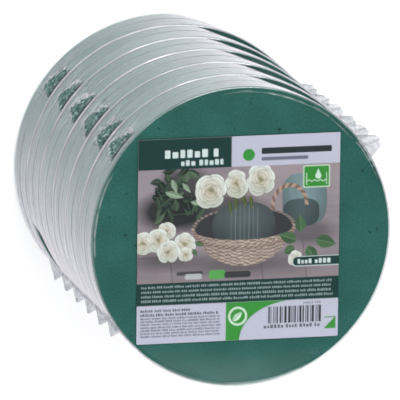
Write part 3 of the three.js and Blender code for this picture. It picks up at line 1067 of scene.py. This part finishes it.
def buildLabel(number, material, ink):
    # a sheet with rounded corners: in each corner's cell the square grid is drawn in to a quarter
    # circle, by the share max(x, y) / hypot(x, y); its underside is one flat fan
    look = labelLook
    rows, columns = ink.shape[:2]
    across = np.linspace(-1, 1, columns) * look["width"] / 2
    x, y = np.meshgrid(across, np.linspace(1, -1, rows) * look["height"] / 2)
    cornerX = np.maximum(np.abs(x) - (look["width"] / 2 - look["corner"]), 0)
    cornerY = np.maximum(np.abs(y) - (look["height"] / 2 - look["corner"]), 0)
    pull = np.maximum(cornerX, cornerY) / np.maximum(np.hypot(cornerX, cornerY), 1e-9)
    pull = np.where((cornerX > 0) & (cornerY > 0), pull, 1)
    x = np.sign(x) * (np.abs(x) - cornerX + cornerX * pull) + look["shiftX"]
    y = np.sign(y) * (np.abs(y) - cornerY + cornerY * pull) + look["shiftY"]
    wave = latticeNoise(pointGrid(x, y, 0), 24, 300 + number) * 0.05
    top = baseHeights[number] + look["under"] + look["thickness"] + wave
    upper = np.stack([x, y, top], -1)
    index = np.arange(rows * columns).reshape(rows, columns)
    face = gridQuads(index[:, :-1], index[:, 1:])
    rim = np.concatenate([index[:-1, 0], index[-1, :-1], index[:0:-1, -1], index[0, :0:-1]])
    under = upper.reshape(-1, 3)[rim].copy()
    under[:, 2] = baseHeights[number] + look["under"]
    middle = np.array([[look["shiftX"], look["shiftY"], baseHeights[number] + look["under"]]])
    points = np.concatenate([upper.reshape(-1, 3), under, middle])
    first = rows * columns
    low = first + np.arange(len(rim))
    strip = np.stack([rim, low, np.roll(low, -1), np.roll(rim, -1)], -1)
    fan = np.stack([np.full(len(rim), len(points) - 1), np.roll(low, -1), low], -1)
    flat = ink.reshape(-1, 3)
    colours = np.concatenate([flat, flat[rim] * 0 + 0.6, np.full((1, 3), 0.6)])
    colours = np.concatenate([colours, np.ones((len(colours), 1))], 1)
    obj = makeMesh(f"label_sheet_{number}", points, np.concatenate([face, strip]), fan, {"ink": colours})
    finishPiece(obj, material, f"block_{number}", f"printed_label_{number}")


baseHeights = {n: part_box(f"film_back_{n}")[0].z / mm for n in range(1, blockCount + 1)}

foamGreen = foamMaterial()
clearFilm = filmMaterial()
creasedFilm = crinkledMaterial()
foldedFilm = foldedMaterial()
paper = paperMaterial()
print("stage: materials")

fineInk = labelPrint(300, 300)
coarseInk = fineInk[::3, ::3]
print("stage: label print")

for number in range(1, blockCount + 1):
    fine = number == blockCount
    buildFoam(number, foamGreen, fine)
    buildLabel(number, paper, fineInk if fine else coarseInk)
    buildFilm(number, clearFilm, "back", fine)
    buildFilm(number, clearFilm, "front", fine)
    buildWeld(number, clearFilm)
    buildTail(number, "upper_right", "flap", creasedFilm)
    buildTail(number, "lower_left", "fin", creasedFilm)
    buildFoldedTail(number, "upper_left", filmLook["foldAngle"], foldedFilm)
    buildFoldedTail(number, "lower_right", filmLook["tailAngles"][3], foldedFilm)
    print("stage: block", number)


studioLook = dict(
    floorRadius=14000,
    floorHeight=-0.2,
    floorTint="#c0bfc3",
    floorGlow=(0.52, 0.84),  # at the foot of the labels and at their top
    sky=0.95,
    flagHalf=(11.5, 19),     # degrees: the dark card over the face, its full dark and its edge
    flagDark=0.04,
    flagTurn=10.0,          # degrees that the card is moved towards the label's top
    # bearing and elevation in degrees, distance and size in metres, and radiance
    lamps=dict(
        lamp_top=(80, 38, 1.4, (0.9, 0.45), 5.0),
        lamp_above=(90, 62, 1.5, (0.9, 0.9), 1.9),
        lamp_low=(-80, 42, 0.75, (0.6, 0.3), 3.0),
    ),
)


def buildFloor(look):
    # a pale round floor that glows a little, so that it stays near white under soft light
    material, tree, out = newMaterial("floor_paper")
    place = addNode(tree, "TexCoord").outputs["Object"]
    side = addNode(tree, "SeparateXYZ", {"Vector": place}).outputs["Y"]
    glow = addNode(tree, "MapRange", {
        "Value": side, "From Min": -40 * mm, "From Max": 140 * mm,
        "To Min": look["floorGlow"][0], "To Max": look["floorGlow"][1],
    }, interpolation_type="SMOOTHSTEP")
    body = addNode(tree, "BsdfPrincipled", {
        "Base Color": shaderColour(look["floorTint"]), "Roughness": 0.9, "Specular IOR Level": 0.1,
        "Emission Color": (1, 1, 1, 1), "Emission Strength": glow.outputs["Result"],
    })
    tree.links.new(body.outputs[0], out.inputs[0])
    angle = np.linspace(0, 2 * math.pi, 96, endpoint=False)
    rings = [roundAxis(r, angle, look["floorHeight"]) for r in (400, 2500, look["floorRadius"])]
    points = np.concatenate([[[0, 0, look["floorHeight"]]], *rings])
    ring = 1 + np.arange(288).reshape(3, 96)
    after = np.roll(ring, -1, axis=1)
    fan = np.stack([np.zeros(96, int), ring[0], after[0]], -1)
    floor = makeMesh("floor", points, gridQuads(ring, after), fan)
    floor.data.materials.append(material)


def buildSky(look):
    # even white all round, with a soft dark card where the labelled face would mirror it towards
    # the camera, so that the film over the face stays clear
    world = bpy.data.worlds.new("studio")
    bpy.context.scene.world = world
    world.use_nodes = True
    tree = world.node_tree
    tree.nodes.clear()
    out = tree.nodes.new("ShaderNodeOutputWorld")
    way = addNode(tree, "TexCoord").outputs["Generated"]
    mirror = Vector((-toCamera.x, -toCamera.y, toCamera.z))
    mirror = Matrix.Rotation(-math.radians(look["flagTurn"]), 3, "X") @ mirror
    near = addNode(tree, "VectorMath", {0: way, 1: tuple(mirror)}, operation="DOT_PRODUCT").outputs["Value"]
    inner, outer = (math.cos(math.radians(a)) for a in look["flagHalf"])
    card = addNode(tree, "MapRange", {
        "Value": near, "From Min": outer, "From Max": inner,
        "To Min": look["sky"], "To Max": look["flagDark"],
    }, interpolation_type="SMOOTHSTEP")
    glow = addNode(tree, "Background", {"Color": (1, 1, 1, 1), "Strength": card.outputs["Result"]})
    tree.links.new(glow.outputs[0], out.inputs[0])


def buildLamp(name, bearing, elevation, distance, size, radiance):
    # an oblong soft light aimed at the stack, with its power from the radiance wanted
    data = bpy.data.lights.new(name, "AREA")
    data.shape, data.size, data.size_y = "RECTANGLE", size[0], size[1]
    data.energy = radiance * math.pi * size[0] * size[1]
    b, e = math.radians(bearing), math.radians(elevation)
    way = Vector((math.cos(b) * math.cos(e), math.sin(b) * math.cos(e), math.sin(e)))
    lamp = bpy.data.objects.new(name, data)
    lamp.location = Vector((0, 0, 0.1)) + way * distance
    lamp.rotation_mode = "QUATERNION"
    lamp.rotation_quaternion = way.to_track_quat("Z", "Y")
    bpy.context.scene.collection.objects.link(lamp)


buildFloor(studioLook)
buildSky(studioLook)
for name, lamp in studioLook["lamps"].items():
    buildLamp(name, *lamp)
print("stage: floor and light")
